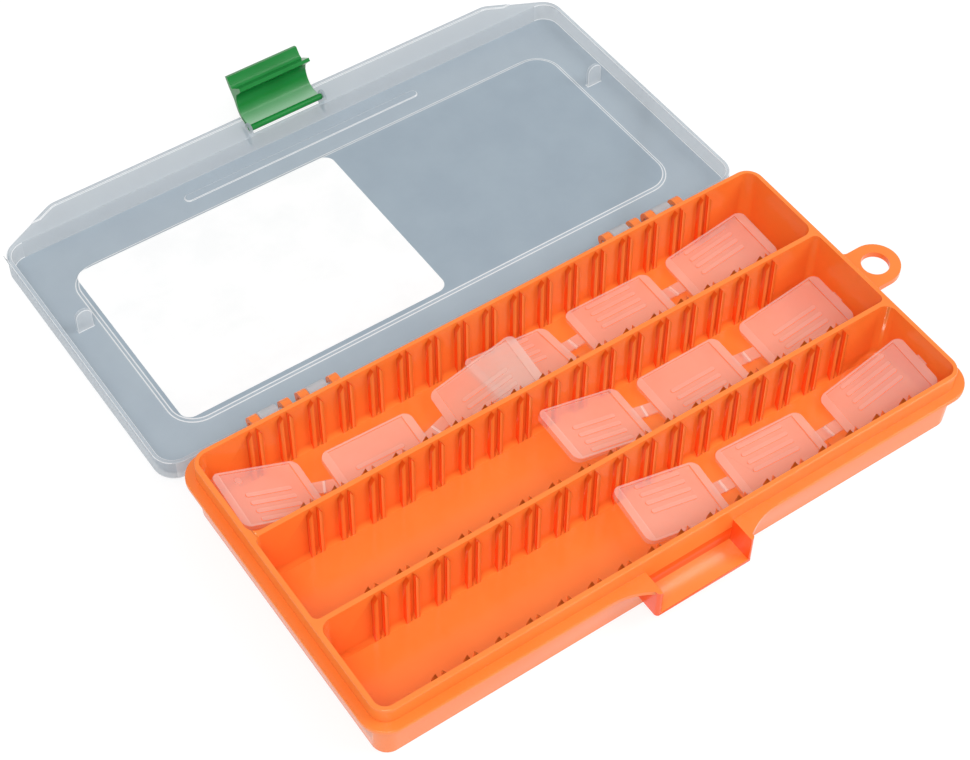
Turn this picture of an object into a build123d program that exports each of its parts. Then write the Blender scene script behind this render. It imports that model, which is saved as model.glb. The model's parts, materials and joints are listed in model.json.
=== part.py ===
from build123d import *
from math import asin, atan, cos, degrees, hypot, radians, sin, tan
import os

os.makedirs("parts", exist_ok=True)

# Hinged lure box, lying open on its back. Millimetres, +Z up, +X along the box towards the ring tab,
# +Y from the catch to the hinge. The origin is the centre of the tray's underside.

# Tray
box_length = 200.0
box_width = 98.0
tray_height = 23.0
lip_wall = 1.5
lip_corner = 5.5
lip_height = 5.6
ledge_reach = 3.0
ledge_thickness = 1.3
edge_round = 0.4
foot_inset = 0.7
floor_thickness = 2.5
outer_draft = 3.0
wall_draft = 2.1
partition_draft = 0.8
partition_wall = 1.5
partition_offset_share = 0.16633
pocket_corner = 3.5
middle_pocket_corner = 2.0
foot_band = 1.5

# Rib pairs that hold the dividers
rib_pairs = 17
rib_pitch = 10.0
rib_width = 1.2
rib_depth = 1.6
rib_root = 0.4
rib_top_drop = 0.5
rib_bevel_drop = 1.9
slot_clearance = 0.2

# Ring tab on the right-hand end
ring_hole_radius = 4.4
ring_outer_radius = 7.8
ring_standoff = 6.4
ring_thickness = 2.0
ring_root_fillet = 2.0

# Hinge
hinge_standoff = 5.4
hinge_drop = 3.2
knuckle_radius = 2.7
knuckle_width = 2.8
knuckle_places = (49.0, 59.5, 65.2, 75.7)
hinge_pin_radius = 1.0
pin_clearance = 0.08
hinge_side_gap = 0.3
hinge_play = 0.6

# Lid
lid_wall = 1.2
skirt_wall = 1.3
lid_clearance = 0.9
seat_gap = 0.2
side_gap = 2.2
front_gap = 0.8
back_gap = 1.7
lid_corner = 7.0
lid_round = 1.0
flange_reach = 10.7
flange_thickness = 1.2
flange_straight = 164.0
flange_side_reach = 0.8
rim_bead_width = 1.4
rim_bead_height = 0.4
panel_length = 180.2
panel_width = 73.3
panel_shift = 1.45
panel_corner = 9.0
panel_step = 0.5
panel_edge_angle = 62.0
slim_bead_length = 87.4
slim_bead_width = 3.0
slim_bead_height = 0.3
slim_bead_inset = 6.8
lug_width = 5.2
lug_height = 8.2
lug_thickness = 1.2
lug_place = 13.2
lug_gap = 0.3

# Label on the inner face of the lid's panel
label_length = 91.8
label_width = 69.5
label_corner = 3.5
label_thickness = 0.12
label_end_margin = 2.3
label_side_margin = 1.1

# Latch, which hangs on the lid's front edge
latch_width = 26.1
latch_reach = 16.0
latch_knuckle_radius = 1.05
latch_pin_radius = 0.8
latch_close_angle = 26.0
latch_side_gap = 0.3
pivot_standoff = 4.0
pivot_drop = 0.4
ear_wall = 0.9
ear_radius = 2.0
catch_wall = 1.5
catch_side_gap = 0.3
catch_gap = 0.28
shelf_thickness = 1.2
cheek_round = 1.2
flare_length = 12.2

# Divider strips
divider_length_share = 0.1515
divider_width_share = 0.2061
divider_corner = 2.7
divider_thickness = 1.2
divider_rim_height = 0.6
divider_end_rim = 2.7
divider_long_rim = 0.7
bar_length = 16.0
bar_width = 1.4
bar_height = 0.4
bar_pitch_share = 0.1485
bar_first_share = 0.401
web_width = 4.1
web_thickness = 0.8
web_shift = 0.4
stub_length = 0.6
mark_radius = 1.2
mark_height = 0.2
rest_gap = 0.1

# One overrun serves all cuts
overrun = 2.0

# Heights and faces that follow from the sizes
ledge_top = tray_height - lip_height
ledge_bottom = ledge_top - ledge_thickness
floor_top = floor_thickness
half_length = box_length / 2
half_width = box_width / 2
inner_end = half_length - lip_wall
inner_side = half_width - lip_wall
partition_offset = partition_offset_share * box_width
partition_outer_face = partition_offset + partition_wall / 2
partition_inner_face = partition_offset - partition_wall / 2
divider_length = divider_length_share * box_length
divider_width = divider_width_share * box_width
bar_pitch = bar_pitch_share * divider_width
bar_first = bar_first_share * divider_width
divider_full_thickness = divider_thickness + divider_rim_height
slot_gap = divider_full_thickness + slot_clearance
hinge_y = half_width + hinge_standoff
hinge_z = ledge_top - hinge_drop

# Latch pivot in the closed lid, and the point of the hook that catches under the shelf
pivot_y = -(half_width + pivot_standoff)
pivot_z = ledge_top - pivot_drop
hook_root_shares = (0.534, 0.473)
hook_root = tuple(share * latch_reach for share in hook_root_shares)
close_turn = radians(latch_close_angle)
hook_root_out = hook_root[0] * cos(close_turn) - hook_root[1] * sin(close_turn)
hook_root_down = hook_root[0] * sin(close_turn) + hook_root[1] * cos(close_turn)

# Catch on the tray, placed from the closed latch
shelf_edge_y = pivot_y - (hook_root_out - catch_gap)
shelf_under_z = pivot_z - hook_root_down + catch_gap
ear_inner = latch_width / 2 + latch_side_gap
ear_outer = ear_inner + ear_wall
catch_inner = ear_outer + hinge_play + catch_side_gap
catch_outer = catch_inner + catch_wall

# Lid, closed, and how far it falls open before its front corner meets the table
lid_under = tray_height + lid_clearance
lid_top = lid_under + lid_wall
skirt_bottom = ledge_top + seat_gap
lid_inner_half = half_length + side_gap
lid_outer_half = lid_inner_half + skirt_wall
lid_front_inner = -(half_width + front_gap)
lid_front_outer = lid_front_inner - skirt_wall
lid_back_inner = half_width + back_gap
lid_back_outer = lid_back_inner + skirt_wall
flange_edge = -(half_width + flange_reach)
table_gap = 0.05 * lid_wall
fold_height = lid_top - hinge_z
fold_reach = hinge_y - lid_front_outer - lid_round
fold_tilt = asin((hinge_z - table_gap) / hypot(fold_height, fold_reach)) - atan(fold_height / fold_reach)
open_angle = 180 + degrees(fold_tilt)
hinge_axis = Axis((0, hinge_y, hinge_z), (1, 0, 0))


def swung_open(closed_part):
    """The closed lid's piece, swung open to the table and pushed left to the end of the hinge's play."""
    return closed_part.rotate(hinge_axis, -open_angle).translate((-hinge_play, 0, 0))


def narrowing(draft, height):
    """How far a drafted wall's face has moved in, this height below the lip's top."""
    return tan(radians(draft)) * (tray_height - height)


# Tray: outer shell with its ledge, the flare at the catch and the lip
with BuildPart() as tray:
    with BuildSketch():
        RectangleRounded(box_length - 2 * foot_inset, box_width - 2 * foot_inset, lip_corner - foot_inset)
    extrude(amount=ledge_top - ledge_thickness / 2, taper=-outer_draft)
    with BuildSketch(Plane.XY.offset(ledge_bottom)):
        RectangleRounded(
            box_length + 2 * ledge_reach, box_width + 2 * ledge_reach, lip_corner + ledge_reach
        )
    extrude(amount=ledge_thickness)
    fillet(tray.faces().filter_by(Plane.XY).sort_by(Axis.Z)[-1].outer_wire().edges(), edge_round)
    flare_foot = -(half_width + ledge_reach)
    flare_end = catch_outer + flare_length
    with BuildSketch(Plane.XY.offset(ledge_bottom)):
        with BuildLine():
            flare_start = (catch_outer, shelf_edge_y + 1.2 * cheek_round)
            Line((0, flare_foot + ledge_reach), (0, shelf_edge_y))
            Line((0, shelf_edge_y), (catch_outer, shelf_edge_y))
            Line((catch_outer, shelf_edge_y), flare_start)
            ThreePointArc(
                flare_start,
                (catch_outer + 0.41 * flare_length, flare_start[1] + 0.69 * (flare_foot - flare_start[1])),
                (flare_end, flare_foot),
            )
            Line((flare_end, flare_foot), (flare_end, flare_foot + ledge_reach))
            Line((flare_end, flare_foot + ledge_reach), (0, flare_foot + ledge_reach))
        flare = make_face()
        mirror(flare, about=Plane.YZ)
        front_corners = [
            corner for corner in vertices()
            if abs(corner.X) > catch_inner and corner.Y < shelf_edge_y + edge_round
        ]
        fillet(front_corners, cheek_round)
    extrude(amount=ledge_thickness)
    with BuildSketch(Plane((0, -half_width, ledge_bottom - overrun))):
        Rectangle(2 * catch_inner, 2 * flange_reach, align=(Align.CENTER, Align.MAX))
    extrude(amount=ledge_thickness + 2 * overrun, mode=Mode.SUBTRACT)
    with BuildSketch(Plane.XY.offset(ledge_bottom)):
        RectangleRounded(box_length, box_width, lip_corner)
    extrude(amount=tray_height - ledge_bottom)
    fillet(tray.faces().sort_by(Axis.Z)[-1].edges(), edge_round)
    fillet(tray.faces().sort_by(Axis.Z)[0].edges(), 2 * edge_round)

    # Three long pockets between the walls and the two partitions, each with a sloping band at its foot
    pockets = (
        (-inner_side, wall_draft, -partition_outer_face, partition_draft, pocket_corner),
        (
            -partition_inner_face, partition_draft, partition_inner_face, partition_draft,
            middle_pocket_corner,
        ),
        (partition_outer_face, partition_draft, inner_side, wall_draft, pocket_corner),
    )
    for low, low_draft, high, high_draft, corner in pockets:
        sections = (
            (tray_height + overrun, 0),
            (floor_top + foot_band, 0),
            (floor_top, foot_band),
        )
        for height, band in sections:
            end = inner_end - narrowing(wall_draft, height) - band
            near = low + narrowing(low_draft, height) + band
            far = high - narrowing(high_draft, height) - band
            with BuildSketch(Plane((0, (near + far) / 2, height))):
                RectangleRounded(2 * end, far - near, corner)
        loft(ruled=True, mode=Mode.SUBTRACT)

    # Catch: a flat shelf between two cheeks with rounded front corners
    wall_root_y = -(half_width - foot_inset)
    with BuildSketch(Plane((0, wall_root_y, shelf_under_z))):
        Rectangle(catch_inner + catch_outer, wall_root_y - shelf_edge_y, align=(Align.CENTER, Align.MAX))
    extrude(amount=shelf_thickness)
    for side in (-1, 1):
        with BuildSketch(Plane.XY.offset(shelf_under_z)):
            Polygon(
                (side * catch_inner, wall_root_y),
                (side * catch_inner, shelf_edge_y),
                (side * catch_outer, shelf_edge_y),
                (side * catch_outer, wall_root_y),
                align=None,
            )
            front_corners = [
                corner for corner in vertices()
                if abs(corner.X) > catch_inner + edge_round and corner.Y < wall_root_y - edge_round
            ]
            fillet(front_corners, cheek_round)
        extrude(amount=ledge_top - edge_round - shelf_under_z)

    # Ring tab
    ring_x = half_length + ledge_reach + ring_standoff
    with BuildSketch(Plane.XY.offset(ledge_top - ring_thickness)):
        with Locations((half_length + ledge_reach, 0)):
            Rectangle(ring_standoff, 2 * ring_outer_radius, align=(Align.MIN, Align.CENTER))
            Rectangle(
                ledge_reach / 2, 2 * (ring_outer_radius + ring_root_fillet + edge_round),
                align=(Align.MAX, Align.CENTER),
            )
        with Locations((ring_x, 0)):
            Circle(ring_outer_radius)
        roots = [
            root for root in vertices()
            if abs(root.X - half_length - ledge_reach) < edge_round / 4
            and abs(abs(root.Y) - ring_outer_radius) < edge_round / 4
        ]
        fillet(roots, ring_root_fillet)
        with Locations((ring_x, 0)):
            Circle(ring_hole_radius, mode=Mode.SUBTRACT)
    extrude(amount=ring_thickness)

    # Hinge knuckles on brackets behind the ledge
    bracket_root_y = half_width - foot_inset
    for side in (-1, 1):
        for place in knuckle_places:
            with BuildSketch(Plane.YZ.offset(side * place - knuckle_width / 2)):
                with Locations((hinge_y, hinge_z)):
                    Circle(knuckle_radius)
                Polygon(
                    (bracket_root_y, hinge_z + knuckle_radius),
                    (hinge_y, hinge_z + knuckle_radius),
                    (hinge_y, hinge_z - knuckle_radius),
                    (bracket_root_y, hinge_z - 1.7 * knuckle_radius),
                    align=None,
                )
                with Locations((hinge_y, hinge_z)):
                    Circle(hinge_pin_radius + pin_clearance, mode=Mode.SUBTRACT)
            extrude(amount=knuckle_width)

# Rib pairs on the hinge side of each long pocket, with their tops bevelled away from the slot
rib_faces = (
    (inner_side, wall_draft),
    (partition_inner_face, partition_draft),
    (-partition_outer_face, partition_draft),
)
rib_foot = floor_top - rib_root
rib_top = tray_height - rib_top_drop
slot_side = slot_gap / 2
outer_side = slot_side + rib_width
rib_outline = (
    (slot_side, rib_foot),
    (outer_side, rib_foot),
    (outer_side, rib_top - rib_bevel_drop),
    (slot_side, rib_top),
)
with BuildPart() as ribs:
    for face_y, draft in rib_faces:
        foot_shift = narrowing(draft, floor_top)
        with BuildSketch(Plane.XZ.offset(-(face_y + rib_root))):
            for index in range(rib_pairs):
                with Locations(((index - (rib_pairs - 1) / 2) * rib_pitch, 0)):
                    Polygon(*rib_outline, align=None)
                    Polygon(*[(-x, z) for x, z in rib_outline], align=None)
        extrude(amount=rib_root + rib_depth + foot_shift)
        front_top = face_y - rib_depth + narrowing(draft, tray_height)
        front_foot = front_top - narrowing(draft, floor_top - overrun)
        with BuildSketch(Plane.YZ.offset(-half_length)):
            Polygon(
                (front_top, tray_height),
                (front_foot, floor_top - overrun),
                (front_foot - overrun, floor_top - overrun),
                (front_foot - overrun, tray_height),
                align=None,
            )
        extrude(amount=box_length, mode=Mode.SUBTRACT)

with BuildPart() as tray_with_ribs:
    add(tray.part)
    add(ribs.part)
    add(ribs.part.mirror(Plane.XZ))
tray_with_ribs.part.label = "tray"
export_step(tray_with_ribs.part, "parts/tray.step")

# Lid, modelled closed
lid_width = lid_back_outer - lid_front_outer
lid_middle = (lid_back_outer + lid_front_outer) / 2
with BuildPart() as lid:
    with BuildSketch(Plane((0, lid_middle, skirt_bottom))):
        RectangleRounded(2 * lid_outer_half, lid_width, lid_corner)
    extrude(amount=lid_top - skirt_bottom)
    fillet(lid.faces().sort_by(Axis.Z)[-1].edges(), lid_round)

    # Front flange with clipped corners
    flange_corner_y = lid_front_inner + flange_side_reach
    with BuildSketch(Plane.XY.offset(skirt_bottom)):
        Polygon(
            (-lid_outer_half, 0),
            (-lid_outer_half, flange_corner_y),
            (-flange_straight / 2, flange_edge),
            (flange_straight / 2, flange_edge),
            (lid_outer_half, flange_corner_y),
            (lid_outer_half, 0),
            align=None,
        )
        fillet(vertices().filter_by_position(Axis.Y, flange_edge - overrun, -overrun), lid_corner)
    extrude(amount=flange_thickness)
    with BuildSketch(Plane.XY.offset(skirt_bottom)):
        Polygon(
            (-lid_outer_half, 0),
            (-lid_outer_half, flange_corner_y),
            (-flange_straight / 2, flange_edge),
            (flange_straight / 2, flange_edge),
            (lid_outer_half, flange_corner_y),
            (lid_outer_half, 0),
            align=None,
        )
        fillet(vertices().filter_by_position(Axis.Y, flange_edge - overrun, -overrun), lid_corner)
        offset(amount=-rim_bead_width, mode=Mode.SUBTRACT)
        with Locations((0, flange_edge + rim_bead_width + 2 * rim_bead_width)):
            Rectangle(4 * lid_outer_half, box_width, align=(Align.CENTER, Align.MIN), mode=Mode.SUBTRACT)
    extrude(amount=-rim_bead_height)

    # Hollow between the skirts
    with BuildSketch(Plane((0, (lid_back_inner + lid_front_inner) / 2, skirt_bottom - rim_bead_height))):
        RectangleRounded(2 * lid_inner_half, lid_back_inner - lid_front_inner, lid_corner - skirt_wall)
    extrude(amount=lid_under - skirt_bottom + rim_bead_height, mode=Mode.SUBTRACT)

    # Panel pressed towards the tray, with a slanted edge
    with BuildSketch(Plane((0, panel_shift, lid_under))):
        RectangleRounded(panel_length, panel_width, panel_corner)
    extrude(amount=-panel_step, taper=panel_edge_angle)
    with BuildSketch(Plane((0, panel_shift, lid_top))):
        RectangleRounded(panel_length, panel_width, panel_corner)
    extrude(amount=-panel_step, taper=panel_edge_angle, mode=Mode.SUBTRACT)

    # Slim raised oval beside the front skirt
    with BuildSketch(Plane((0, lid_front_inner + slim_bead_inset, lid_under))):
        SlotOverall(slim_bead_length, slim_bead_width)
    extrude(amount=-slim_bead_height)

    # Two lugs that stand up from the plate and drop inside the tray's middle pocket at its ends
    lug_end_face = inner_end - narrowing(wall_draft, lid_under - lug_height) - lug_gap - hinge_play
    for side in (-1, 1):
        lug_x = side * (lug_end_face - lug_width / 2)
        round_z = lid_under - lug_height + lug_width / 2
        with BuildSketch(Plane.XZ.offset(lug_place - lug_thickness / 2)):
            with Locations((lug_x, round_z)):
                Circle(lug_width / 2)
                Rectangle(lug_width, lid_under - round_z, align=(Align.CENTER, Align.MIN))
        extrude(amount=lug_thickness)

    # Notch for the latch, with an ear on each side that holds its pivot
    with BuildSketch(Plane((0, lid_front_outer, skirt_bottom - overrun))):
        Rectangle(2 * ear_inner, flange_reach, align=(Align.CENTER, Align.MAX))
    extrude(amount=flange_thickness + 2 * overrun, mode=Mode.SUBTRACT)
    for side in (-ear_outer, ear_inner):
        with BuildSketch(Plane.YZ.offset(side)):
            Polygon(
                (lid_front_outer + skirt_wall / 2, lid_under),
                (lid_front_outer + skirt_wall / 2, skirt_bottom),
                (flange_edge + rim_bead_width, skirt_bottom),
                (flange_edge + rim_bead_width, skirt_bottom + flange_thickness),
                (pivot_y, lid_under),
                align=None,
            )
            with Locations((pivot_y, pivot_z)):
                Circle(ear_radius)
        extrude(amount=ear_wall)
    with BuildSketch(Plane.YZ.offset(-ear_outer)):
        with Locations((pivot_y, pivot_z)):
            Circle(latch_pin_radius + pin_clearance)
    extrude(amount=2 * ear_outer, mode=Mode.SUBTRACT)

    # Hinge barrels with stub pins, each between two of the tray's knuckles
    barrel_spans = ((knuckle_places[0], knuckle_places[1]), (knuckle_places[2], knuckle_places[3]))
    strap_face = half_width + ledge_reach + hinge_side_gap
    for side in (-1, 1):
        for first, last in barrel_spans:
            barrel_length = last - first - knuckle_width - 2 * (hinge_side_gap + hinge_play)
            barrel_middle = side * (first + last) / 2
            with BuildSketch(Plane.YZ.offset(barrel_middle - barrel_length / 2)):
                with Locations((hinge_y, hinge_z)):
                    Circle(knuckle_radius)
                Polygon(
                    (strap_face, hinge_z),
                    (strap_face, skirt_bottom),
                    (lid_back_outer - skirt_wall / 2, skirt_bottom),
                    (lid_back_outer - skirt_wall / 2, skirt_bottom + knuckle_radius),
                    (strap_face + skirt_wall, skirt_bottom + knuckle_radius),
                    (hinge_y + knuckle_radius / 2, hinge_z),
                    align=None,
                )
            extrude(amount=barrel_length)
            pin_length = barrel_length + 2 * knuckle_width
            with BuildSketch(Plane.YZ.offset(barrel_middle - pin_length / 2)):
                with Locations((hinge_y, hinge_z)):
                    Circle(hinge_pin_radius)
            extrude(amount=pin_length)

lid_open = swung_open(lid.part)
lid_open.label = "lid"
export_step(lid_open, "parts/lid.step")

# Label: a bare sheet on the panel's inner face
label_y = panel_shift - panel_width / 2 + label_side_margin + label_width / 2
label_x = -(panel_length / 2 - label_end_margin - label_length / 2)
with BuildPart() as label:
    with BuildSketch(Plane((label_x, label_y, lid_under - panel_step))):
        RectangleRounded(label_length, label_width, label_corner)
    extrude(amount=-label_thickness)

label_open = swung_open(label.part)
label_open.label = "label"
export_step(label_open, "parts/label.step")

# Latch, drawn about its pivot in the open lid: along +Y, up +Z
fold_turn = radians(-open_angle)
pivot_open_y = hinge_y + (pivot_y - hinge_y) * cos(fold_turn) - (pivot_z - hinge_z) * sin(fold_turn)
pivot_open_z = hinge_z + (pivot_y - hinge_y) * sin(fold_turn) + (pivot_z - hinge_z) * cos(fold_turn)
back_curve_shares = (
    (0.0, -0.064), (0.13, -0.1), (0.25, -0.1), (0.37, -0.075), (0.47, -0.015), (0.575, 0.125),
    (0.662, 0.288),
)
tip_and_hook_shares = (
    (0.825, 0.463), (0.965, 0.655), (0.882, 0.695), (0.765, 0.556), (0.688, 0.525), (0.644, 0.575),
    (0.388, 0.775), (0.338, 0.722), hook_root_shares,
)
front_curve_shares = (
    (0.552, 0.338), (0.515, 0.2), (0.45, 0.09), (0.37, 0.02), (0.263, -0.013), (0.13, -0.01), (0.0, 0.03),
)
with BuildPart() as latch:
    latch_start = (-latch_width / 2 - hinge_play, pivot_open_y, pivot_open_z)
    latch_end = Plane(latch_start, x_dir=(0, 1, 0), z_dir=(1, 0, 0))
    with BuildSketch(latch_end):
        back_points, tip_and_hook_points, front_points = (
            [(along * latch_reach, across * latch_reach) for along, across in shares]
            for shares in (back_curve_shares, tip_and_hook_shares, front_curve_shares)
        )
        with BuildLine():
            Spline(*back_points)
            Polyline(back_points[-1], *tip_and_hook_points, front_points[0])
            Spline(*front_points)
            Line(front_points[-1], back_points[0])
        make_face()
        Circle(latch_knuckle_radius)
    extrude(amount=latch_width)
    pin_stub = latch_side_gap + ear_wall - hinge_side_gap
    with BuildSketch(latch_end.offset(-pin_stub)):
        Circle(latch_pin_radius)
    extrude(amount=latch_width + 2 * pin_stub)
latch.part.label = "latch"
export_step(latch.part, "parts/latch.step")

# Dividers: twelve plates in four strips of three. A row gives the strip, where the plate's middle lies
# along the box and across its pocket as shares of the box's length and width, its yaw, pitch and roll in
# degrees, and how far something under it lifts it, as a share of its width.
pocket_middle = (partition_outer_face + inner_side) / 2
strip_rows = {"a": pocket_middle, "b": pocket_middle, "c": 0, "d": -pocket_middle}
plate_rows = (
    ("a", -0.4205, 0.0094, -0.1, -27.0, 3.1, 0),
    ("a", -0.2455, -0.0283, -0.7, -2.2, 5.8, 0),
    ("a", -0.059, -0.0222, -4.6, 22.4, -3.6, 0.074),
    ("b", 0.0165, 0.0176, 0.7, -8.5, -6.4, 0),
    ("b", 0.203, 0.0196, -2.5, 2.3, -3.8, 0),
    ("b", 0.393, 0.0207, -1.0, 11.7, 1.6, 0),
    ("c", 0.035, 0.0347, 0.3, -18.0, 1.9, 0),
    ("c", 0.216, 0.0224, -0.3, 1.0, 0.8, 0),
    ("c", 0.407, 0.0153, -0.9, 11.1, 1.3, 0),
    ("d", 0.0465, 0.0232, -3.4, -13.5, 3.1, 0),
    ("d", 0.2275, -0.0003, -4.2, 1.6, 0.2, 0),
    ("d", 0.4165, -0.0156, -4.0, 24.1, -0.6, 0),
)
turned_strips = ("a", "c")
stubbed_plates = (9, 12)
marked_plates = (1,)


def plate_plane(row):
    """The plane of a plate's underside where it lies in the tray, resting on its lowest corner."""
    strip, along_share, across_share, yaw, pitch, roll, lift_share = row
    along = Vector(1, 0, 0).rotate(Axis.Y, -pitch).rotate(Axis.Z, yaw)
    normal = Vector(0, 0, 1).rotate(Axis.X, roll).rotate(Axis.Y, -pitch).rotate(Axis.Z, yaw)
    drop = divider_length / 2 * abs(sin(radians(pitch)))
    drop += divider_width / 2 * abs(sin(radians(roll))) * cos(radians(pitch))
    height = floor_top + rest_gap + drop + lift_share * divider_width
    across = strip_rows[strip] + across_share * box_width
    return Plane((along_share * box_length, across, height), x_dir=along, z_dir=normal)


def in_plate(plane, u, v, w):
    """A point given along, across and above a plate's underside."""
    return plane.from_local_coords(Vector(u, v, w))


planes = [plate_plane(row) for row in plate_rows]

for number, (row, plane) in enumerate(zip(plate_rows, planes), start=1):
    facing = -1 if row[0] in turned_strips else 1
    with BuildPart() as divider:
        with BuildSketch(plane):
            RectangleRounded(divider_length, divider_width, divider_corner)
        extrude(amount=divider_full_thickness)
        with BuildSketch(plane.offset(divider_thickness)):
            Rectangle(divider_length - 2 * divider_end_rim, divider_width - 2 * divider_long_rim)
        extrude(amount=divider_rim_height, mode=Mode.SUBTRACT)
        with BuildSketch(plane.offset(divider_thickness)):
            for index in range(4):
                with Locations((0, facing * (bar_first - index * bar_pitch))):
                    SlotOverall(bar_length, bar_width)
        extrude(amount=bar_height)
        if number in stubbed_plates:
            with BuildSketch(plane):
                with Locations((divider_length / 2 - stub_length, -web_shift)):
                    Rectangle(2 * stub_length, web_width, align=(Align.MIN, Align.CENTER))
            extrude(amount=divider_thickness)
        if number in marked_plates:
            with BuildSketch(plane.offset(divider_thickness)):
                with Locations((-0.235 * divider_length, 0.327 * divider_width)):
                    Circle(mark_radius)
            extrude(amount=mark_height)
    divider.part.label = f"divider_{number:02d}"
    export_step(divider.part, f"parts/divider_{number:02d}.step")

# Break-off webs between the plates of a strip, from one plate's end face to the next
for number in range(1, len(plate_rows)):
    if plate_rows[number - 1][0] != plate_rows[number][0]:
        continue
    before = planes[number - 1]
    after = planes[number]
    with BuildPart() as web:
        for plane, end in ((before, 1), (after, -1)):
            middle = in_plate(plane, end * divider_length / 2, -web_shift, web_thickness / 2)
            with BuildSketch(Plane(middle, x_dir=plane.y_dir, z_dir=plane.x_dir)):
                Rectangle(web_width, web_thickness)
        loft(ruled=True)
    name = f"web_{number:02d}_{number + 1:02d}"
    web.part.label = name
    export_step(web.part, f"parts/{name}.step")

print(f"opens by {open_angle:.3f} degrees about y {hinge_y:.2f}, z {hinge_z:.2f}")
print(f"latch pivot, lid open: y {pivot_open_y:.3f}, z {pivot_open_z:.3f}")
print(f"catch shelf edge: y {shelf_edge_y:.3f}, underside z {shelf_under_z:.3f}")
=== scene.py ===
# %% [markdown]
# # A lure box, lying open on the table
# The real thing is a shallow fishing box of moulded polypropylene. It has an opaque orange tray with
# three long pockets, a frosted lid that folds back flat on the table, a green snap latch, and four strips
# of clear divider plates that lie loose in the pockets. The shapes come from a imported CAD model, and this
# lesson gives them softened edges, plastics, light and a camera.
#
# The imported model is loaded first. Its nodes are in metres, and nothing that follows moves them.

# %% Load the imported model
import json
import math

import bpy
from mathutils import Euler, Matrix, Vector

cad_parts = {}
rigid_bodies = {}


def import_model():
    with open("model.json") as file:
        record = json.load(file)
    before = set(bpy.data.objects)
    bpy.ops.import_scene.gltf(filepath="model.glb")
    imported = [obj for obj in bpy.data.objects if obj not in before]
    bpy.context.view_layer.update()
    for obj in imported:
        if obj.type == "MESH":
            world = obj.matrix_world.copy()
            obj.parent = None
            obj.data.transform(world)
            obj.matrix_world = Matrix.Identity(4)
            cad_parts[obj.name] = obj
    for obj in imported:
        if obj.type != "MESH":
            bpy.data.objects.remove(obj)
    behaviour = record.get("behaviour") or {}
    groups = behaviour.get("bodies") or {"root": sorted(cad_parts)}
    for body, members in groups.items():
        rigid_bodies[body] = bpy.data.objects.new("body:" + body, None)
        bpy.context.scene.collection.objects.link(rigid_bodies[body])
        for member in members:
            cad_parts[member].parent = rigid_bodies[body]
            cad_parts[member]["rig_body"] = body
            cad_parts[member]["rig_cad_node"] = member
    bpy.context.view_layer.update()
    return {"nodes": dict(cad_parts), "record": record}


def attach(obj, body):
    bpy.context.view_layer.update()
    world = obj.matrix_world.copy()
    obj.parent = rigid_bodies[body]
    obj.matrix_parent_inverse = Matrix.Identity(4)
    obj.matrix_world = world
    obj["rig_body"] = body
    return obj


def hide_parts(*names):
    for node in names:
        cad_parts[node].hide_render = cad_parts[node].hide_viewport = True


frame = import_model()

MM = 0.001

# %% [markdown]
# ## Colours and nodes
# A colour picked from a swatch is an sRGB hex value, but a shader works in linear light. One
# function turns one into the other, so that every colour below can be read as it would be in a paint
# program. A second function adds a shader node with its settings and its links, which keeps each material
# short.

# %% Colour and node helpers


def linear(hex_colour):
    """A hex colour as the linear red, green, blue and alpha that a socket takes."""
    shares = [int(hex_colour[place:place + 2], 16) / 255 for place in (1, 3, 5)]
    return (*[s / 12.92 if s <= 0.04045 else ((s + 0.055) / 1.055) ** 2.4 for s in shares], 1.0)


def add_node(material, kind, settings=None, links=None):
    """Adds a node. A setting is a property or an input of the node, and a link gives an input its source."""
    node = material.node_tree.nodes.new("ShaderNode" + kind)
    for key, value in (settings or {}).items():
        if isinstance(key, str) and hasattr(node, key):
            setattr(node, key, value)
        else:
            node.inputs[key].default_value = value
    for key, (source, output) in (links or {}).items():
        material.node_tree.links.new(source.outputs[output], node.inputs[key])
    return node


def new_material(name):
    """An empty material with its output node."""
    material = bpy.data.materials.new(name)
    material.use_nodes = True
    material.node_tree.nodes.clear()
    return material, add_node(material, "OutputMaterial")


print("the tray's orange in linear light", [round(share, 3) for share in linear("#FF8436")])

# %% [markdown]
# ## A moulded surface
# Moulded polypropylene copies its steel mould. Where the mould is polished, the plastic is smooth with a
# faint orange peel about a millimetre across, and where the melt flowed unevenly the gloss drifts over
# one or two centimetres. Image textures could show this, but noise in real millimetres needs no file and
# stays sharp from any distance. All five plastics share this surface, so it is one function: it drifts
# the colour between two close shades, drifts the roughness between two values, and adds the peel as a
# very low bump.

# %% The moulded surface
DRIFT_MM = 14
PEEL_MM = 0.9


def moulded_surface(material, shades, roughness, peel_height_mm):
    """Colour, roughness and bump nodes for a moulded skin, all from Object coordinates."""
    place = add_node(material, "TexCoord")
    drift = add_node(
        material, "TexNoise", {"Scale": 1 / (DRIFT_MM * MM), "Detail": 3.0, "Roughness": 0.55},
        {"Vector": (place, "Object")},
    )
    colour = add_node(material, "ValToRGB", links={"Fac": (drift, "Fac")})
    colour.color_ramp.elements[0].position = 0.35
    colour.color_ramp.elements[1].position = 0.65
    for element, shade in zip(colour.color_ramp.elements, shades):
        element.color = linear(shade)
    gloss = add_node(
        material, "MapRange",
        {"From Min": 0.3, "From Max": 0.7, "To Min": roughness[0], "To Max": roughness[1]},
        {"Value": (drift, "Fac")},
    )
    peel = add_node(
        material, "TexNoise", {"Scale": 1 / (PEEL_MM * MM), "Detail": 2.0}, {"Vector": (place, "Object")}
    )
    bump = add_node(
        material, "Bump", {"Strength": 1.0, "Distance": peel_height_mm * MM}, {"Height": (peel, "Fac")}
    )
    return colour, gloss, bump


print("gloss drifts over", DRIFT_MM, "mm and the peel is", PEEL_MM, "mm wide")

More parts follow.
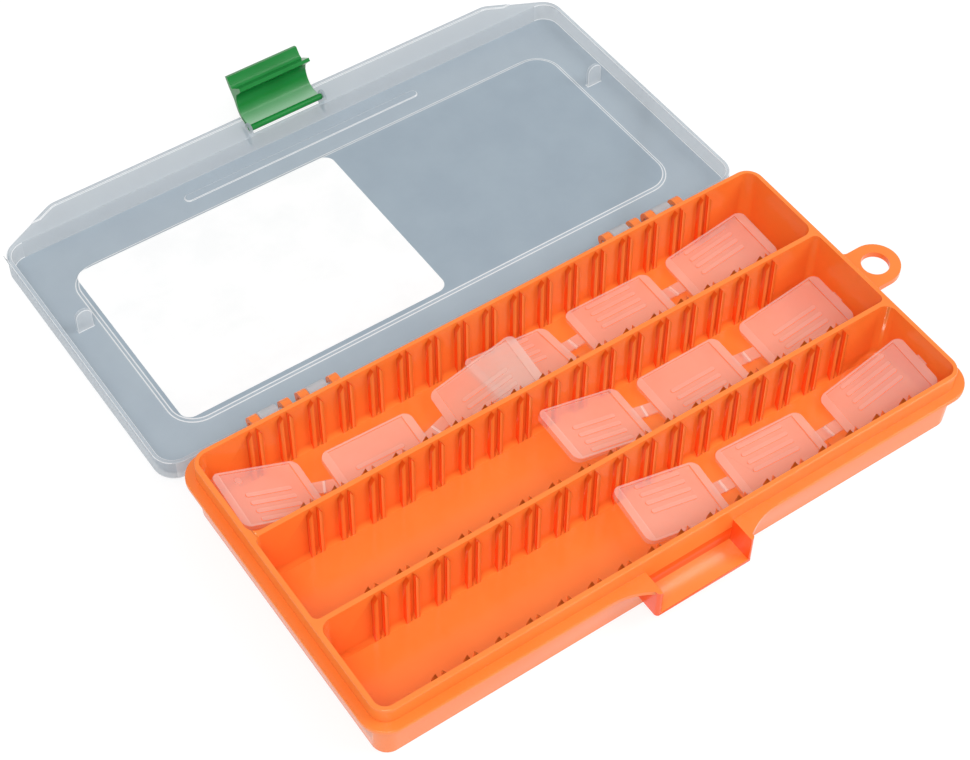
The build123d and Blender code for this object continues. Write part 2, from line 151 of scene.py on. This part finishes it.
# %% [markdown]
# ## One plastic
# Polypropylene bends light by about 1.49 and is no metal, so these are the settings that a plastic starts
# from. A milky plastic also lets light soak through without showing what is behind. Real scattering
# inside the wall would do that, but it is slow and turns noisy in thin walls, so a share of a translucent
# shader, the glow, is mixed in.

# %% One plastic
POLYPROPYLENE = {"IOR": 1.49, "Metallic": 0.0}


def plastic(name, shades, roughness, settings=POLYPROPYLENE, peel_height_mm=0.004, glow=0):
    """A moulded plastic. A share of it, the glow, lets light through without showing what is behind."""
    material, output = new_material(name)
    colour, gloss, bump = moulded_surface(material, shades, roughness, peel_height_mm)
    shader = add_node(
        material, "BsdfPrincipled", settings,
        {"Base Color": (colour, "Color"), "Roughness": (gloss, "Result"), "Normal": (bump, "Normal")},
    )
    skin = shader
    if glow:
        milk = add_node(
            material, "BsdfTranslucent", links={"Color": (colour, "Color"), "Normal": (bump, "Normal")}
        )
        skin = add_node(material, "MixShader", {0: glow}, {1: (shader, "BSDF"), 2: (milk, "BSDF")})
    material.node_tree.links.new(skin.outputs[0], output.inputs["Surface"])
    return material


print("settings that the plastics share", POLYPROPYLENE)

# %% [markdown]
# ## Haze and tint, face by face
# A frosted plate isn't equally clear all over: a thin middle shows what lies behind it, and a thick rim
# hides it. Cut into several materials, one moulding would look pieced together. Each face carries two
# numbers instead. Its haze says how much it hides, and its share of painted light and shade says how much
# of a second shade it takes: a paler shade where light is painted, a deeper one where shade is painted.
# The materials read both as attributes, which stay with the mesh wherever it moves.

# %% Haze and tint


def show_haze(material):
    """Makes each face as clear as its haze says: 0 can't be seen, 1 hides all that lies behind."""
    haze = add_node(material, "Attribute", {"attribute_name": "haze"})
    shader = next(node for node in material.node_tree.nodes if node.type == "BSDF_PRINCIPLED")
    material.node_tree.links.new(haze.outputs["Fac"], shader.inputs["Alpha"])


def paint_light_and_shade(material, shade):
    """Mixes another shade in on each face by its share of painted light and shade."""
    nodes = material.node_tree.nodes
    # The attribute holds each face's share of painted light and shade.
    edge = add_node(material, "Attribute", {"attribute_name": "edge"})
    ramp = next(node for node in nodes if node.type == "VALTORGB")
    tint = add_node(
        material, "MixRGB", {"Color2": linear(shade)}, {"Fac": (edge, "Fac"), "Color1": (ramp, "Color")}
    )
    for shader in [node for node in nodes if node.type.startswith("BSDF")]:
        colour = shader.inputs.get("Base Color") or shader.inputs["Color"]
        material.node_tree.links.new(tint.outputs["Color"], colour)


print("faces carry two attributes, haze and edge")

# %% [markdown]
# ## The five plastics
# - The tray is pigmented polypropylene from a polished mould: opaque, strongly coloured and glossy. Its
#   deep tint is painted shade on the sides of the ribs and round the catch, where light goes from wall to
#   wall and the orange turns redder.
# - The lid is natural polypropylene, which has no pigment: milky, and what lies behind it shows softly.
#   Its tint is painted light, the near white of an edge that gathers light.
# - The latch is pigmented polypropylene too, a little less shiny, because it bends and gets handled. Its
#   pale tint is painted light on the thin wall beside the pivot, which lets light through.
# - The dividers are thin clear polypropylene with a frosted skin. They look pink only over the orange,
#   and the faint pink of their shades is painted light, the orange that they scatter from the tray.
# - The label place is a white film, bare here.

# %% The five plastics
tray_plastic = plastic("orange_moulded_polypropylene", ("#FF8436", "#FF883A"), (0.14, 0.22))
# Painted shade: a deeper, redder orange for the rib sides and the catch walls.
paint_light_and_shade(tray_plastic, "#FF4A08")
lid_plastic = plastic("natural_frosted_polypropylene", ("#AABAC7", "#AFBFCB"), (0.3, 0.36), glow=0.35)
show_haze(lid_plastic)
# Painted light: a near white on bright lines, skirts, the flange and round the fittings.
paint_light_and_shade(lid_plastic, "#FBFDFE")
latch_plastic = plastic(
    "green_moulded_polypropylene", ("#117A31", "#168338"), (0.17, 0.24),
    {**POLYPROPYLENE, "Specular IOR Level": 0.35},
)
# Painted light: a pale green where light comes through the thin wall by the pivot.
paint_light_and_shade(latch_plastic, "#C4E8CC")
# The faint pink is painted light: orange light scattered from the tray.
divider_plastic = plastic("clear_frosted_polypropylene", ("#FBE6DC", "#FFEDE4"), (0.36, 0.46))
show_haze(divider_plastic)
label_film = plastic(
    "white_label_film", ("#F7F8F8", "#FCFCFC"), (0.42, 0.5), {"IOR": 1.45, "Metallic": 0.0},
    peel_height_mm=0.003,
)
print("materials", [material.name for material in bpy.data.materials])

# %% [markdown]
# ## A clean copy of a solid
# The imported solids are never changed, so each piece here is a copy. A solid arrives as loose triangles.
# They are merged at their corners, their normals are turned outwards, and triangles that lie in one plane
# become one face, because a bevel along the border between two triangles of a flat wall would leave a
# mark.

# %% A clean copy of a solid
MERGE_MM = 0.001
SAME_PLANE_DEGREES = 0.5


def pick_only(piece):
    """Makes this the one selected and active object."""
    bpy.ops.object.select_all(action="DESELECT")
    piece.select_set(True)
    bpy.context.view_layer.objects.active = piece


def clean_copy(node_name, piece_name):
    """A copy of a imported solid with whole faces, free of the marks that make the solid a CAD node."""
    pick_only(frame["nodes"][node_name])
    bpy.ops.object.duplicate()
    piece = bpy.context.view_layer.objects.active
    piece.name = piece_name
    piece.data.name = piece_name
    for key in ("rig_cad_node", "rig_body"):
        if key in piece:
            del piece[key]
    bpy.ops.object.parent_clear(type="CLEAR")
    bpy.ops.object.mode_set(mode="EDIT")
    bpy.ops.mesh.select_all(action="SELECT")
    bpy.ops.mesh.remove_doubles(threshold=MERGE_MM * MM)
    bpy.ops.mesh.normals_make_consistent(inside=False)
    bpy.ops.mesh.dissolve_limited(angle_limit=math.radians(SAME_PLANE_DEGREES))
    bpy.ops.object.mode_set(mode="OBJECT")
    return piece


print("solids to copy", len(frame["nodes"]))

# %% [markdown]
# ## Softened edges
# A mould can't hold a perfectly sharp edge, and the thin bright line along each rim of the real box is
# light caught by that small rounding. The imported solids keep most edges sharp, so a narrow bevel rounds
# those that bend by more than a given angle. The bevel gives its new faces the second material slot, by
# which they are told apart and given a full share of painted light and shade. On an outer corner it can
# bulge by a hair, so the corners are held inside the solid's own box. Weighted normals then keep the large
# flats looking flat right up to the rounding.

# %% Softened edges
ROUNDING_STEPS = 2
SHARP_DEGREES = 35


def round_edges(piece, round_mm, sharper_than):
    """Rounds the edges that bend by more than this many degrees, inside the piece's own box."""
    corners = [corner.co for corner in piece.data.vertices]
    low = [min(corner[axis] for corner in corners) for axis in range(3)]
    high = [max(corner[axis] for corner in corners) for axis in range(3)]
    bevel = piece.modifiers.new("edge_rounding", "BEVEL")
    bevel.material = 1
    bevel.width = round_mm * MM
    bevel.segments = ROUNDING_STEPS
    bevel.limit_method = "ANGLE"
    bevel.angle_limit = math.radians(sharper_than)
    bevel.use_clamp_overlap = False
    bpy.ops.object.modifier_apply(modifier=bevel.name)
    for corner in piece.data.vertices:
        corner.co = [min(max(corner.co[axis], low[axis]), high[axis]) for axis in range(3)]


def softened_copy(node_name, piece_name, round_mm, material, sharper_than=SHARP_DEGREES):
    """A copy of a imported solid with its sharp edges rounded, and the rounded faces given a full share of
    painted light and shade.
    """
    piece = clean_copy(node_name, piece_name)
    while len(piece.data.materials) < 2:
        piece.data.materials.append(None)
    for face in piece.data.polygons:
        face.material_index = 0
    if round_mm:
        round_edges(piece, round_mm, sharper_than)
    bpy.ops.object.shade_smooth_by_angle(angle=math.radians(sharper_than))
    even = piece.modifiers.new("even_shading", "WEIGHTED_NORMAL")
    even.keep_sharp = True
    even.weight = 100
    bpy.ops.object.modifier_apply(modifier=even.name)
    edge = piece.data.attributes.new("edge", "FLOAT", "FACE")
    for face in piece.data.polygons:
        edge.data[face.index].value = float(face.material_index == 1)
        face.material_index = 0
    piece.data.materials.clear()
    piece.data.materials.append(material)
    print(piece_name, len(piece.data.polygons), "faces")
    return piece


def stand_for(piece, node_name, body):
    """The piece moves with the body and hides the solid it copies."""
    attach(piece, body)
    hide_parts(node_name)


# %% [markdown]
# ## The tray
# The tray is one opaque moulding. Its lip and ledge already have their roundings in the solid, so the
# copy gets none. What it needs is painted shade: the sides of the rib pairs, which look at each other
# across a narrow slot, and the walls round the catch are painted a deeper orange than the open walls, for
# the shade and redder bounce light in these narrow places. They are found by where they stand and which
# way they face, and marked with the painted shade. The long front wall reaches into the same place, so the
# size of a face tells it apart.

# %% The tray
# The deep orange is painted shade, where light bounces between close walls.
PAINTED_SHADE_SHARE = 0.75
RIB_ROWS_MM = ((44.5, 47.7), (12.5, 15.8), (-20, -17))
LAST_RIB_MM = 88
CATCH_BOX_MM = ((-20, 20), (-60, -47.5), (7, 15))
LARGEST_CATCH_WALL_MM2 = 500


def painted_slot_shade(face):
    """How much painted shade, the deep tint, a face of the tray takes."""
    middle = face.center / MM
    on_rib_row = any(near < middle.y < far for near, far in RIB_ROWS_MM) and abs(middle.x) < LAST_RIB_MM
    shaded_rib_side = on_rib_row and abs(face.normal.x) > 0.8
    at_catch = all(near < place < far for place, (near, far) in zip(middle, CATCH_BOX_MM))
    shaded_catch_wall = at_catch and abs(face.normal.z) < 0.5 and face.area / MM**2 < LARGEST_CATCH_WALL_MM2
    return PAINTED_SHADE_SHARE if shaded_rib_side or shaded_catch_wall else 0.0


tray = softened_copy("tray", "tray_shell", 0, tray_plastic)
tray_edge = tray.data.attributes["edge"]
for face in tray.data.polygons:
    tray_edge.data[face.index].value = painted_slot_shade(face)
stand_for(tray, "tray", "tray")
print("faces with painted shade", sum(mark.value > 0 for mark in tray_edge.data))

# %% [markdown]
# ## The lid
# The lid is one thin milky moulding: a plate with a raised panel, skirts round it, a flange at the front
# and barrels at the hinge. Where light meets an edge or a small step, natural polypropylene lights up as
# a thin bright line, and where one looks through a skirt at a slant, it is paler than the plate. Both are
# painted light here: each kind of face has its own haze and its own share of a near white tint, and a
# face is sorted by its tilt against the panel and its height above it. The tilt is 1 where a face looks
# the same way as the panel, 0 where it stands upright and -1 where it looks down.

# %% How each part of the lid looks
# Each pair is a haze and a share of painted light, the near white tint.
PAINTED_BRIGHT_LINE = (0.85, 1.0)
PAINTED_BRIGHT_LINE_OUTSIDE = (0.2, 1.0)
OUTER_SKIN = (0.12, 0.0)
PANEL = (0.85, 0.0)
LID_PLATE = (0.8, 0.12)
FLANGE = (0.5, 0.45)
SKIRT = (0.4, 0.5)
BY_THE_LATCH = (0.35, 0.4)
BY_THE_HINGE = (0.6, 0.7)
FLAT = 0.9
UPRIGHT = 0.25
PLATE_REACH_MM = 1
SMALL_STEP_MM = 0.6


def kind_of_face(tilt, low, high, rounded):
    """Haze and share of painted light from a face's tilt against the panel and its reach in mm above it."""
    on_plate = high < PLATE_REACH_MM
    small_step = on_plate and abs(tilt) < UPRIGHT and high - low < SMALL_STEP_MM
    if rounded or small_step:
        return PAINTED_BRIGHT_LINE if tilt > -0.2 else PAINTED_BRIGHT_LINE_OUTSIDE
    if tilt < -FLAT:
        return OUTER_SKIN
    if tilt > FLAT and abs(high) < 0.1:
        return PANEL
    if tilt > FLAT:
        return LID_PLATE if on_plate else FLANGE
    return LID_PLATE if tilt > UPRIGHT and on_plate else SKIRT


print("haze and edge of the lid's plate", LID_PLATE, "and of its skirts", SKIRT)

# %% [markdown]
# Round the latch and the hinge, and on the two small lugs, the moulding is thicker and the light is gathered
# in many small faces, which is painted in as a paler tint. These places are found by their distance along
# the lid, and a lug by the size of its faces.

# %% The lid round the latch, the hinge and the lugs
LATCH_HALF_MM = 16
LATCH_FROM_Y_MM = 158
HINGE_TO_Y_MM = 58
HINGE_FROM_Z_MM = 8
LUG_FACE_MM2 = (5, 60)


def fitting_near(face):
    """Haze and share of painted light of a face round the latch or the hinge or on a lug, and otherwise
    None.
    """
    middle = face.center / MM
    if abs(middle.x) < LATCH_HALF_MM and middle.y > LATCH_FROM_Y_MM:
        return BY_THE_LATCH
    lug_face = LUG_FACE_MM2[0] < face.area / MM**2 < LUG_FACE_MM2[1] and abs(face.normal.y) > FLAT
    at_hinge = middle.y < HINGE_TO_Y_MM and middle.z > HINGE_FROM_Z_MM
    return BY_THE_HINGE if lug_face or at_hinge else None


print("faces of a lug measure", LUG_FACE_MM2, "square mm")

# %% [markdown]
# The lid's panel is its largest face that looks up. Its normal is the lid's own up, because the lid leans
# back a little, and heights are measured along it. The edges of the panel bend by less than most, so the
# bevel starts at a smaller angle here.

# %% The lid
LID_ROUND_MM = 0.2
PANEL_EDGE_DEGREES = 20
lid = softened_copy("lid", "lid_shell", LID_ROUND_MM, lid_plastic, sharper_than=PANEL_EDGE_DEGREES)
stand_for(lid, "lid", "lid")
lid_haze = lid.data.attributes.new("haze", "FLOAT", "FACE")
lid_edge = lid.data.attributes["edge"]
panel = max(lid.data.polygons, key=lambda face: face.area if face.normal.z > FLAT else 0)
lid_up, panel_height = panel.normal.copy(), panel.center.dot(panel.normal) / MM
for face in lid.data.polygons:
    heights = [lid.data.vertices[index].co.dot(lid_up) / MM - panel_height for index in face.vertices]
    rounded = lid_edge.data[face.index].value > 0
    sorted_by_shape = kind_of_face(face.normal.dot(lid_up), min(heights), max(heights), rounded)
    look = fitting_near(face) or sorted_by_shape
    lid_haze.data[face.index].value, lid_edge.data[face.index].value = look
print("lid leans by", round(math.degrees(lid_up.angle(Vector((0, 0, 1)))), 2), "degrees")

# %% [markdown]
# ## The latch
# The latch is a curved green clip. Its wall is thinnest beside the pivot, where light shines through and
# the green turns pale. A gradient texture could paint that, but its place would have to be matched to the
# clip by hand. The faces of the cupped side are narrow strips, so each strip simply gets its own share of
# the pale tint, the painted light, by its distance from the pivot.

# %% The latch
PIVOT_Y_MM = 161.7
FADE_FROM_MM = 0.8
FADE_TO_MM = 8
FADE_CURVE = 1.3
# The strongest share of painted light, right beside the pivot.
STRONGEST_PAINTED_LIGHT = 0.95
HOOK_RIB_MM = 16


def painted_pivot_light(face):
    """How much painted light, the pale tint, a face takes: most beside the pivot, none from the end of the
    fade.
    """
    out = face.center.y / MM - PIVOT_Y_MM
    below_rib = face.center.z < HOOK_RIB_MM * MM and abs(face.normal.x) < 0.5
    cupped = face.normal.z > 0.2 and FADE_FROM_MM < out < FADE_TO_MM and below_rib
    return STRONGEST_PAINTED_LIGHT * (1 - out / FADE_TO_MM) ** FADE_CURVE if cupped else 0.0


latch = softened_copy("latch", "latch_clip", 0, latch_plastic)
latch_edge = latch.data.attributes["edge"]
for face in latch.data.polygons:
    latch_edge.data[face.index].value = painted_pivot_light(face)
stand_for(latch, "latch", "latch")
print("faces with painted light", sum(mark.value > 0 for mark in latch_edge.data))

# %% [markdown]
# ## The label
# A white film is stuck on the inside of the lid and left bare here. A film and the wall it is stuck to
# share one plane, and a render can't tell which of the two comes first: seen through the lid, the film
# would break up in stripes. Its underside is therefore seated a few hundredths of a millimetre in the
# panel.

# %% The label
SEAT_MM = 0.03
label = softened_copy("label", "label_sheet", 0, label_film)
underside = {index for face in label.data.polygons if face.normal.z < -FLAT for index in face.vertices}
for index in underside:
    label.data.vertices[index].co.z -= SEAT_MM * MM
stand_for(label, "label", "lid")
print("label corners seated", len(underside))

# %% [markdown]
# ## The divider plates
# A divider is a thin clear plate with a recess and four bars on it. Where it is thin, it shows the orange
# behind it, and its bars, rims and sides hide a little more. Glass would bend the light and make the
# pocket behind it swim, which the real frosted plates don't do, so each kind of face is given a haze by
# its height over the plate's underside.

# %% How clear a plate is
UNDERSIDE_HAZE = 0.06
RECESS_HAZE = 0.3
RAISED_HAZE = 0.36
SIDE_HAZE = 0.22
RECESS_MM = 1.3


def haze_by_height(plate):
    """Stores on each face how milky it is: raised rims and edges hold more plastic than the thin middle."""
    faces = plate.data.polygons
    underside = max((face for face in faces if face.normal.z < 0), key=lambda face: face.area)
    down, low = underside.normal.copy(), underside.center.copy()
    haze = plate.data.attributes.new("haze", "FLOAT", "FACE")
    for face in faces:
        height = (low - face.center).dot(down) / MM
        if face.normal.dot(down) > FLAT:
            haze.data[face.index].value = UNDERSIDE_HAZE
        elif face.normal.dot(down) < -FLAT:
            haze.data[face.index].value = RECESS_HAZE if height < RECESS_MM else RAISED_HAZE
        else:
            haze.data[face.index].value = SIDE_HAZE


print("haze of a recess", RECESS_HAZE, "and of a bar", RAISED_HAZE)

# %% [markdown]
# ## The break-off webs
# Two plates hang together by a web that is pinched across its middle, so that it snaps there. The solid
# is a plain bar. Three cuts across it give the middle corners of their own, and those are drawn half way
# towards the web's centre. The pinch is made milkier, a painted highlight where light catches the notch.

# %% The pinch in a web
PINCH_MM = 0.35
PINCH_SHARE = 0.5
# A milkier, whiter pinch: a painted highlight.
PAINTED_HIGHLIGHT_HAZE = 0.6
ON_CUT_MM = 0.02


def pinch_middle(link):
    """Pinches a web across its middle, where it is meant to snap."""
    corners = [corner.co.copy() for corner in link.data.vertices]
    middle = sum(corners, Vector()) / len(corners)
    right = [corner for corner in corners if corner.x > middle.x]
    along = (sum(right, Vector()) / len(right) - middle).normalized()
    up = max(link.data.polygons, key=lambda face: face.area).normal.copy()
    pick_only(link)
    bpy.ops.object.mode_set(mode="EDIT")
    for step in (-PINCH_MM, 0, PINCH_MM):
        bpy.ops.mesh.select_all(action="SELECT")
        bpy.ops.mesh.bisect(plane_co=middle + along * step * MM, plane_no=along, threshold=MERGE_MM * MM)
    bpy.ops.object.mode_set(mode="OBJECT")
    for corner in link.data.vertices:
        if abs((corner.co - middle).dot(along)) < ON_CUT_MM * MM:
            corner.co -= up * (corner.co - middle).dot(up) * PINCH_SHARE
    # The pinch faces get the painted highlight.
    haze = link.data.attributes["haze"]
    for face in link.data.polygons:
        if abs((face.center - middle).dot(along)) < PINCH_MM * MM:
            haze.data[face.index].value = PAINTED_HIGHLIGHT_HAZE


print("a web is pinched over", 2 * PINCH_MM, "mm")

# %% [markdown]
# Each plate and each web is a piece of its own, because they part in use. All pieces of one strip ride on
# the strip's body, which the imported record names.

# %% Divider plates and webs
PLATE_ROUND_MM = 0.14
WEB_ROUND_MM = 0.1
body_of_node = {
    node: body for body, nodes in frame["record"]["behaviour"]["bodies"].items() for node in nodes
}
for node_name in sorted(frame["nodes"]):
    if not node_name.startswith(("divider_", "web_")):
        continue
    is_web = node_name.startswith("web_")
    piece_name = node_name.replace("divider", "plate").replace("web", "link")
    plate = softened_copy(node_name, piece_name, WEB_ROUND_MM if is_web else PLATE_ROUND_MM, divider_plastic)
    haze_by_height(plate)
    if is_web:
        pinch_middle(plate)
    stand_for(plate, node_name, body_of_node[node_name])

# %% [markdown]
# ## The table
# The box lies on a white sheet. Lit brightly enough to look white, a sheet would throw too much light
# back on the box. So the sheet sends its own soft light, but only to rays from the camera and to those
# that a glossy or clear surface passes on. Its dark matt part keeps the grey shadow under the box. Every
# other ray meets a plain pale sheet.

# %% The table
SHEET_SIZE = 6
OWN_LIGHT = 0.8
bpy.ops.object.select_all(action="DESELECT")
bpy.ops.mesh.primitive_plane_add(size=SHEET_SIZE, location=(0, 0, 0))
table = bpy.context.view_layer.objects.active
table.name = "table_sheet"
sheet, sheet_output = new_material("white_backdrop_sheet")
pale_sheet = add_node(sheet, "BsdfDiffuse", {"Color": linear("#E8E8E8")})
shadow_sheet = add_node(sheet, "BsdfDiffuse", {"Color": linear("#8A8A8A")})
own_light = add_node(sheet, "Emission", {"Color": (1, 1, 1, 1), "Strength": OWN_LIGHT})
seen_sheet = add_node(sheet, "AddShader", links={0: (shadow_sheet, "BSDF"), 1: (own_light, "Emission")})
rays = add_node(sheet, "LightPath")
seen_or_mirrored = add_node(
    sheet, "Math", {"operation": "MAXIMUM"}, {0: (rays, "Is Camera Ray"), 1: (rays, "Is Glossy Ray")}
)
seen = add_node(
    sheet, "Math", {"operation": "MAXIMUM"},
    {0: (seen_or_mirrored, "Value"), 1: (rays, "Is Transmission Ray")},
)
choice = add_node(
    sheet, "MixShader", links={"Fac": (seen, "Value"), 1: (pale_sheet, "BSDF"), 2: (seen_sheet, "Shader")}
)
sheet.node_tree.links.new(choice.outputs["Shader"], sheet_output.inputs["Surface"])
table.data.materials.append(sheet)
print("sheet", SHEET_SIZE, "m wide")

# %% [markdown]
# ## Light
# The photograph has soft light from all sides and a stronger one from the front right, which makes the
# faces that look left the darker ones. An even pale surrounding gives the first. A wide square lamp in
# front on the right gives the second, and a weaker one beside the camera lifts the fronts of the ribs.
# Small lamps would be easier to aim, but their shadows would be harder than any in the photograph.

# %% Light
SURROUNDINGS = 0.55
LIT_POINT = (0, 0.05, 0)
world = bpy.data.worlds.new("pale_surroundings")
world.use_nodes = True
world.node_tree.nodes["Background"].inputs["Color"].default_value = (1, 1, 1, 1)
world.node_tree.nodes["Background"].inputs["Strength"].default_value = SURROUNDINGS
bpy.context.scene.world = world


def soft_lamp(name, place, width, watts):
    """A square area lamp that faces the middle of the box."""
    lamp_data = bpy.data.lights.new(name, "AREA")
    lamp_data.size = width
    lamp_data.energy = watts
    lamp = bpy.data.objects.new(name, lamp_data)
    bpy.context.scene.collection.objects.link(lamp)
    lamp.location = place
    lamp.rotation_euler = (Vector(LIT_POINT) - Vector(place)).to_track_quat("-Z", "Y").to_euler()
    return lamp


key_lamp = soft_lamp("key_lamp", (1.9, -1.3, 2.2), width=1.6, watts=37)
fill_lamp = soft_lamp("fill_lamp", (-0.98, -1.13, 2.1), width=1.2, watts=28)
print("lamps", [(lamp.name, lamp.data.energy) for lamp in (key_lamp, fill_lamp)])

# %% [markdown]
# ## Camera
# The camera stands in front of the box on the left and looks down at 48 degrees. Its place, turn and lens
# come from matching the tray's corners and ribs to the photograph, and the small shift does what a crop
# does. A colour is shown as it was written under the Standard view, so that is the one used.

# %% Camera
TURN_DEGREES = (41.6218, -1.2235, -34.8451)
camera_data = bpy.data.cameras.new("camera")
camera_data.sensor_fit = "HORIZONTAL"
camera_data.sensor_width = 36
camera_data.lens = 84.398
camera_data.shift_x = -0.01801
camera_data.shift_y = -0.14470
camera = bpy.data.objects.new("camera", camera_data)
camera.location = (-0.24970, -0.29936, 0.53310)
camera.rotation_euler = Euler([math.radians(angle) for angle in TURN_DEGREES], "XYZ")
bpy.context.scene.collection.objects.link(camera)
bpy.context.scene.camera = camera
bpy.context.scene.view_settings.view_transform = "Standard"
print("lens", round(camera_data.lens, 1), "mm, looking down by", round(90 - TURN_DEGREES[0]), "degrees")
